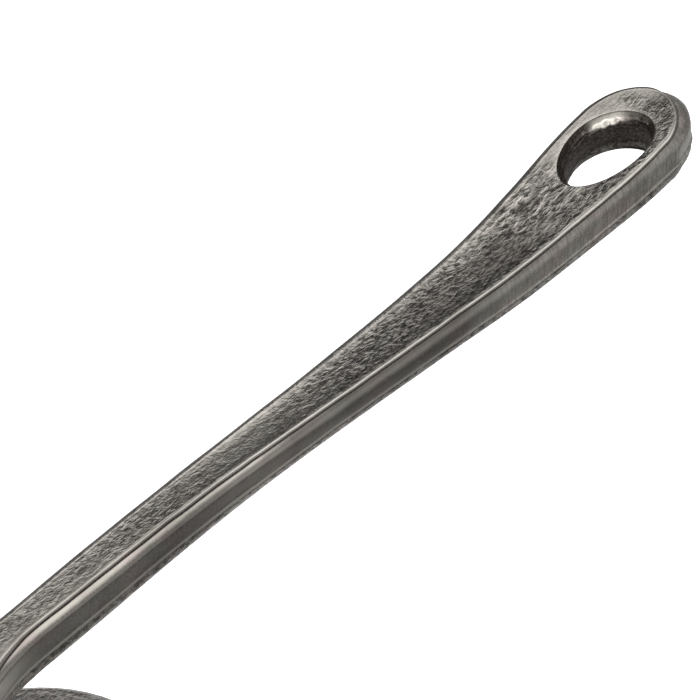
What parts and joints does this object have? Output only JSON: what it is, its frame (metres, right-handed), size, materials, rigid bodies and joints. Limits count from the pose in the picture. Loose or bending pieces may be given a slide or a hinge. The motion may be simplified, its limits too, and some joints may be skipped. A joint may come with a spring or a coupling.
{
  "type": "cockspur window handle",
  "caption": "Casement window handle: a slender cast lever with an oval eye turns on a plate and swings a cockspur nose over the frame to hold the sash shut.",
  "frame": {"origin": "the lever's pivot axis, on the back face of the plate, where the plate meets the window stile", "axes": "+Z along the pivot, away from the window; +X along the lever towards its eye, lever closed; -Y the way the cockspur nose points"},
  "size_m": [0.1766, 0.04, 0.0452],
  "materials": {
    "cast_pewter": "as-cast grain under a dark antique pewter patina, rubbed brighter on the rims",
    "dark_steel": "darkened steel, satin",
    "spring_steel": "bright, lightly oiled",
    "nylon": "natural, satin",
    "fibre": "vulcanised fibre, matt"
  },
  "bodies": {
    "base": {"back_plate": "cast_pewter", "pivot_bush": "nylon", "friction_washer": "fibre", "thrust_washer": "spring_steel", "wave_washer": "spring_steel", "stop_pin": "spring_steel", "fixing_screw_upper": "dark_steel", "fixing_screw_lower": "dark_steel"},
    "lever": {"lever": "cast_pewter", "cockspur_nose": "cast_pewter", "spindle": "dark_steel", "retaining_clip": "spring_steel"},
    "lock": {"locking_screw": "dark_steel"}
  },
  "joints": [
    {"name": "lever_pivot", "type": "hinge", "parent": "base", "child": "lever", "pos_m": [0, 0, 0], "axis": [0, 0, 1], "range_deg": [0, 90]},
    {"name": "lock_advance", "type": "slide", "parent": "lever", "child": "lock", "axis": [0, 0, -1], "range_m": [0, 0.0024]}
  ]
}
